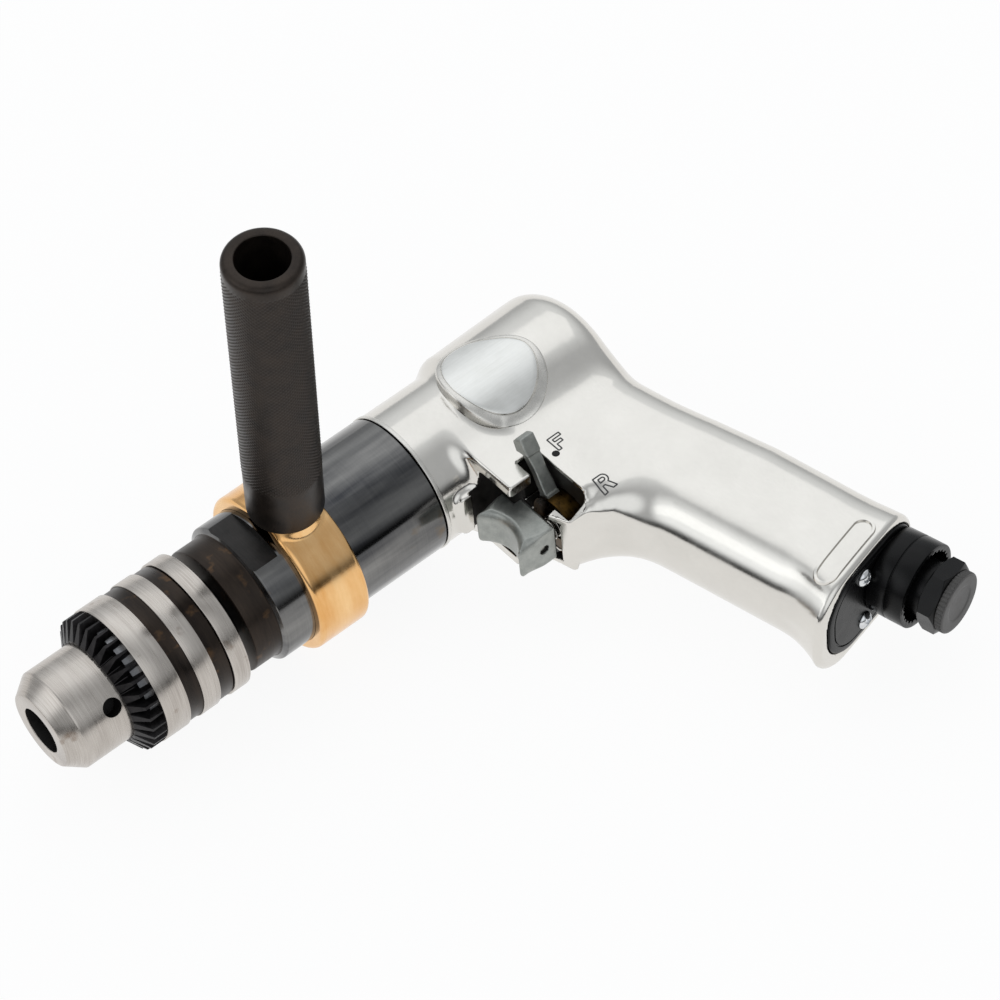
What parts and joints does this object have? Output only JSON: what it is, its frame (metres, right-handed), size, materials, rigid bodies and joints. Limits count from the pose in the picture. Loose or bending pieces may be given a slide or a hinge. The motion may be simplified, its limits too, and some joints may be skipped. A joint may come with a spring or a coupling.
{
  "type": "air drill",
  "caption": "Pistol-grip air drill with a keyed chuck, planetary gear housing, trigger with reverse lever, side handle on a clamp band and an exhaust through the grip.",
  "frame": {"origin": "centre of the chuck's mouth on the spindle axis", "axes": "+X out of the chuck along the spindle, +Y down the grip, +Z the tool's left side, up as it lies"},
  "size_m": [0.2206, 0.1668, 0.1587],
  "materials": {
    "cast_aluminium": "polished satin",
    "blued_steel": "dark polished",
    "ground_steel": "bright ground",
    "black_steel": "black oxide",
    "gold_band": "polished gold tone",
    "brass": "turned",
    "cast_grey": "matte cast",
    "knurled_handle": "dark brown-black anodised knurl",
    "black_plastic": "matte black",
    "plug_plastic": "matte dark grey",
    "felt": "felt",
    "vane_fibre": "fibre",
    "seal_rubber": "matte black"
  },
  "bodies": {
    "housing": {"motor_housing": "cast_aluminium", "badge_plate": "cast_aluminium", "gear_housing": "blued_steel", "ring_gear": "blued_steel", "spindle_seal": "seal_rubber", "front_bearing": "ground_steel", "motor_cylinder": "cast_grey", "front_plate": "cast_grey", "rear_plate": "cast_grey", "rotor_bearing_front": "ground_steel", "rotor_bearing_rear": "ground_steel", "valve_bush": "ground_steel", "throttle_spring": "ground_steel", "inlet_bushing": "black_steel", "inlet_screen": "brass", "exhaust_cover": "black_plastic", "cover_screw_a": "ground_steel", "cover_screw_b": "ground_steel", "muffler_felt": "felt"},
    "spindle": {"spindle": "blued_steel", "planet_pins_2": "ground_steel", "chuck_body": "ground_steel", "chuck_screw": "blued_steel"},
    "planet_2a": {"planet_2a": "ground_steel"},
    "planet_2b": {"planet_2b": "ground_steel"},
    "planet_2c": {"planet_2c": "ground_steel"},
    "carrier_1": {"carrier_1": "blued_steel", "planet_pins_1": "ground_steel"},
    "planet_1a": {"planet_1a": "ground_steel"},
    "planet_1b": {"planet_1b": "ground_steel"},
    "planet_1c": {"planet_1c": "ground_steel"},
    "rotor": {"rotor": "ground_steel", "rotor_vanes": "vane_fibre"},
    "sleeve": {"chuck_sleeve": "ground_steel", "chuck_nut": "blued_steel"},
    "jaw_a": {"chuck_jaw_a": "ground_steel"},
    "jaw_b": {"chuck_jaw_b": "ground_steel"},
    "jaw_c": {"chuck_jaw_c": "ground_steel"},
    "trigger": {"trigger": "cast_grey", "trigger_pin": "blued_steel", "throttle_stem": "ground_steel"},
    "reverse": {"reverse_valve": "brass", "reverse_lever": "cast_grey"},
    "deflector": {"exhaust_deflector": "black_plastic"},
    "plug": {"dust_plug": "plug_plastic"},
    "band": {"handle_band": "gold_band", "handle_stud": "ground_steel"},
    "handle": {"side_handle": "knurled_handle"}
  },
  "joints": [
    {"name": "spindle_spin", "type": "hinge", "parent": "housing", "child": "spindle", "pos_m": [0, 0, 0], "axis": [1, 0, 0], "continuous": true},
    {"name": "planet_2a_spin", "type": "hinge", "parent": "spindle", "child": "planet_2a", "pos_m": [-0.0963, 0, 0.0102], "axis": [1, 0, 0], "continuous": true},
    {"name": "planet_2b_spin", "type": "hinge", "parent": "spindle", "child": "planet_2b", "pos_m": [-0.0963, -0.00883, -0.0051], "axis": [1, 0, 0], "continuous": true},
    {"name": "planet_2c_spin", "type": "hinge", "parent": "spindle", "child": "planet_2c", "pos_m": [-0.0963, 0.00883, -0.0051], "axis": [1, 0, 0], "continuous": true},
    {"name": "carrier_1_spin", "type": "hinge", "parent": "housing", "child": "carrier_1", "pos_m": [-0.104, 0, 0], "axis": [1, 0, 0], "continuous": true},
    {"name": "planet_1a_spin", "type": "hinge", "parent": "carrier_1", "child": "planet_1a", "pos_m": [-0.1113, 0, 0.0102], "axis": [1, 0, 0], "continuous": true},
    {"name": "planet_1b_spin", "type": "hinge", "parent": "carrier_1", "child": "planet_1b", "pos_m": [-0.1113, -0.00883, -0.0051], "axis": [1, 0, 0], "continuous": true},
    {"name": "planet_1c_spin", "type": "hinge", "parent": "carrier_1", "child": "planet_1c", "pos_m": [-0.1113, 0.00883, -0.0051], "axis": [1, 0, 0], "continuous": true},
    {"name": "rotor_spin", "type": "hinge", "parent": "housing", "child": "rotor", "pos_m": [-0.16, 0, 0], "axis": [1, 0, 0], "continuous": true},
    {"name": "sleeve_turn", "type": "hinge", "parent": "spindle", "child": "sleeve", "pos_m": [-0.035, 0, 0], "axis": [1, 0, 0], "range_deg": [-2070, 2430]},
    {"name": "jaw_a_slide", "type": "slide", "parent": "spindle", "child": "jaw_a", "axis": [0.9703, 0.011, -0.2417], "range_m": [-0.0115, 0.0135]},
    {"name": "jaw_b_slide", "type": "slide", "parent": "spindle", "child": "jaw_b", "axis": [0.9703, 0.2038, 0.1303], "range_m": [-0.0115, 0.0135]},
    {"name": "jaw_c_slide", "type": "slide", "parent": "spindle", "child": "jaw_c", "axis": [0.9703, -0.2148, 0.1113], "range_m": [-0.0115, 0.0135]},
    {"name": "trigger_pull", "type": "slide", "parent": "housing", "child": "trigger", "axis": [-1, 0, 0], "range_m": [0, 0.0031], "stiffness_N_per_m": 1500, "deforming": ["throttle_spring"]},
    {"name": "reverse_turn", "type": "hinge", "parent": "housing", "child": "reverse", "pos_m": [-0.155, 0.042, 0], "axis": [-1, 0, 0], "range_deg": [0, 44]},
    {"name": "deflector_turn", "type": "hinge", "parent": "housing", "child": "deflector", "pos_m": [-0.2106, 0.1397, 0], "axis": [-0.2215, 0.9751, 0], "continuous": true},
    {"name": "plug_pull", "type": "slide", "parent": "housing", "child": "plug", "axis": [-0.2215, 0.9751, 0], "range_m": [0, 0.03]},
    {"name": "band_swing", "type": "hinge", "parent": "housing", "child": "band", "pos_m": [-0.087, 0, 0], "axis": [1, 0, 0], "continuous": true},
    {"name": "handle_turn", "type": "hinge", "parent": "band", "child": "handle", "pos_m": [-0.087, 0, 0], "axis": [0, 0.0941, 0.9956], "continuous": true}
  ],
  "couplings": [
    {"joint": "planet_2a_spin", "follows": "spindle_spin", "ratio": -3},
    {"joint": "planet_2b_spin", "follows": "spindle_spin", "ratio": -3},
    {"joint": "planet_2c_spin", "follows": "spindle_spin", "ratio": -3},
    {"joint": "carrier_1_spin", "follows": "spindle_spin", "ratio": 4},
    {"joint": "planet_1a_spin", "follows": "spindle_spin", "ratio": -12},
    {"joint": "planet_1b_spin", "follows": "spindle_spin", "ratio": -12},
    {"joint": "planet_1c_spin", "follows": "spindle_spin", "ratio": -12},
    {"joint": "rotor_spin", "follows": "spindle_spin", "ratio": 16},
    {"joint": "jaw_a_slide", "follows": "sleeve_turn", "m_per_rad": 0.00031831},
    {"joint": "jaw_b_slide", "follows": "sleeve_turn", "m_per_rad": 0.00031831},
    {"joint": "jaw_c_slide", "follows": "sleeve_turn", "m_per_rad": 0.00031831}
  ]
}
